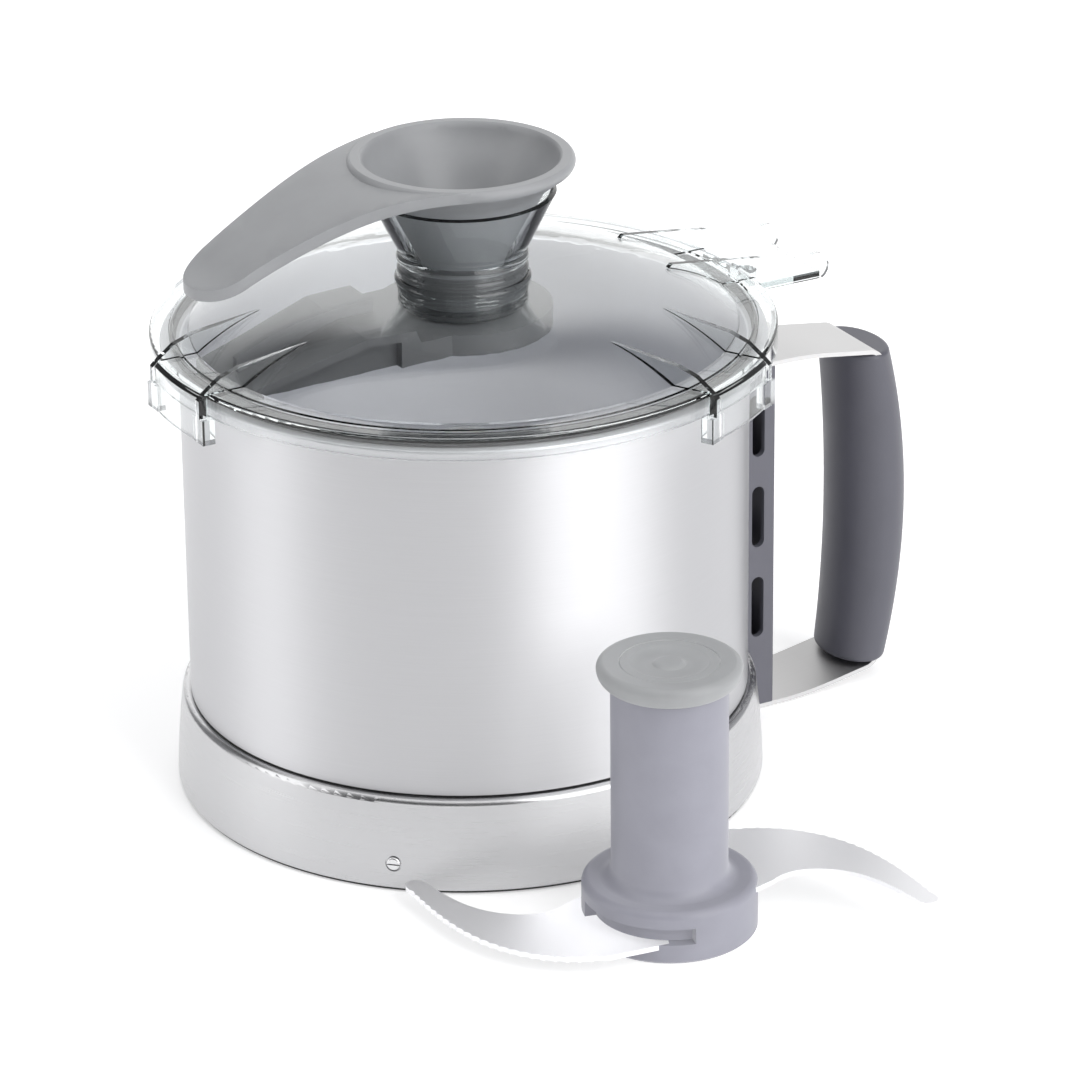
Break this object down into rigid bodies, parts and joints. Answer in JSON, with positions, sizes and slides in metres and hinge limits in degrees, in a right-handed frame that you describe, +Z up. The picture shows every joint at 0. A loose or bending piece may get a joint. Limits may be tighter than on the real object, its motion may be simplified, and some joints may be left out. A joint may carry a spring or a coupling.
{
  "type": "food processor cutter bowl",
  "caption": "Stainless cutter bowl with side handle, clear locking lid, funnel lever turning an inner scraper, and a separate serrated S-blade standing beside it.",
  "frame": {"origin": "centre of the base ring's socket at its lower edge, on the surface the bowl stands on", "axes": "+Z up along the bowl's axis, +X towards the handle; the blade unit stands on the -Y side"},
  "size_m": [0.3252, 0.3495, 0.2576],
  "materials": {
    "bowl_steel": "circumferentially brushed stainless steel",
    "base_steel": "fine brushed stainless steel, satin",
    "strap_steel": "satin brushed along its length",
    "tube_steel": "turned stainless steel",
    "blade_steel": "ground and polished knife steel",
    "fastener_steel": "bright screw steel",
    "spring_steel": "drawn spring wire",
    "clear_plastic": "clear polycarbonate with a faint green-grey edge",
    "funnel_grey": "satin mid grey moulding",
    "scraper_grey": "satin dark grey moulding",
    "hub_grey": "satin grey moulding, faintly violet",
    "cap_grey": "satin light grey moulding",
    "grip_slate": "slate grey satin moulding",
    "channel_slate": "slate grey satin moulding",
    "seal_black": "black seal rubber",
    "bush_white": "natural acetal",
    "wiper_grey": "dark silicone"
  },
  "bodies": {
    "bowl": {"bowl_shell": "bowl_steel", "shaft_tube": "tube_steel", "tube_bushes": "bush_white", "base_ring": "base_steel", "ring_screws": "fastener_steel", "foot_ring": "seal_black", "base_gasket": "seal_black", "strap_screws": "fastener_steel", "handle_strap": "strap_steel", "handle_grip": "grip_slate", "bowl_studs": "fastener_steel", "stud_nuts": "fastener_steel", "rod_channel": "channel_slate", "rod_bush": "bush_white"},
    "rod": {"safety_rod": "tube_steel", "rod_button": "channel_slate", "rod_collar": "fastener_steel", "rod_magnet": "spring_steel", "rod_spring": "spring_steel"},
    "seal": {"lid_seal": "seal_black"},
    "lid": {"lid": "clear_plastic", "neck_bush": "scraper_grey", "neck_seal": "seal_black"},
    "scraper": {"funnel_lever": "funnel_grey", "scraper_arm": "scraper_grey", "scraper_nut": "scraper_grey", "lid_wiper": "wiper_grey", "wall_wiper": "wiper_grey"},
    "blade_bush": {"blade_bush": "bush_white"},
    "blade": {"blade_hub": "hub_grey", "lower_blade": "blade_steel", "upper_blade": "blade_steel", "drive_insert": "tube_steel"},
    "cap": {"hub_cap": "cap_grey", "cap_plug": "cap_grey", "cap_ring": "seal_black"}
  },
  "joints": [
    {"name": "lid_lift", "type": "slide", "parent": "bowl", "child": "seal", "axis": [0, 0, 1], "range_m": [0, 0.16]},
    {"name": "lid_turn", "type": "hinge", "parent": "seal", "child": "lid", "pos_m": [0, 0, 0.186], "axis": [0, 0, 1], "range_deg": [0, 30]},
    {"name": "scraper_turn", "type": "hinge", "parent": "lid", "child": "scraper", "pos_m": [0, 0, 0.207], "axis": [0, 0, 1], "continuous": true},
    {"name": "rod_press", "type": "slide", "parent": "bowl", "child": "rod", "axis": [0, 0, 1], "range_m": [-0.006, 0], "stiffness_N_per_m": 300, "springref_m": 0.003, "deforming": ["rod_spring"]},
    {"name": "blade_lift", "type": "slide", "parent": "bowl", "child": "blade_bush", "axis": [0, 0, 1], "range_m": [0, 0.15]},
    {"name": "blade_turn", "type": "hinge", "parent": "blade_bush", "child": "blade", "pos_m": [-0.002, -0.1614, 0.02], "axis": [0, 0, 1], "range_deg": [-2, 34]},
    {"name": "cap_lift", "type": "slide", "parent": "blade", "child": "cap", "axis": [0, 0, 1], "range_m": [0, 0.02]}
  ]
}
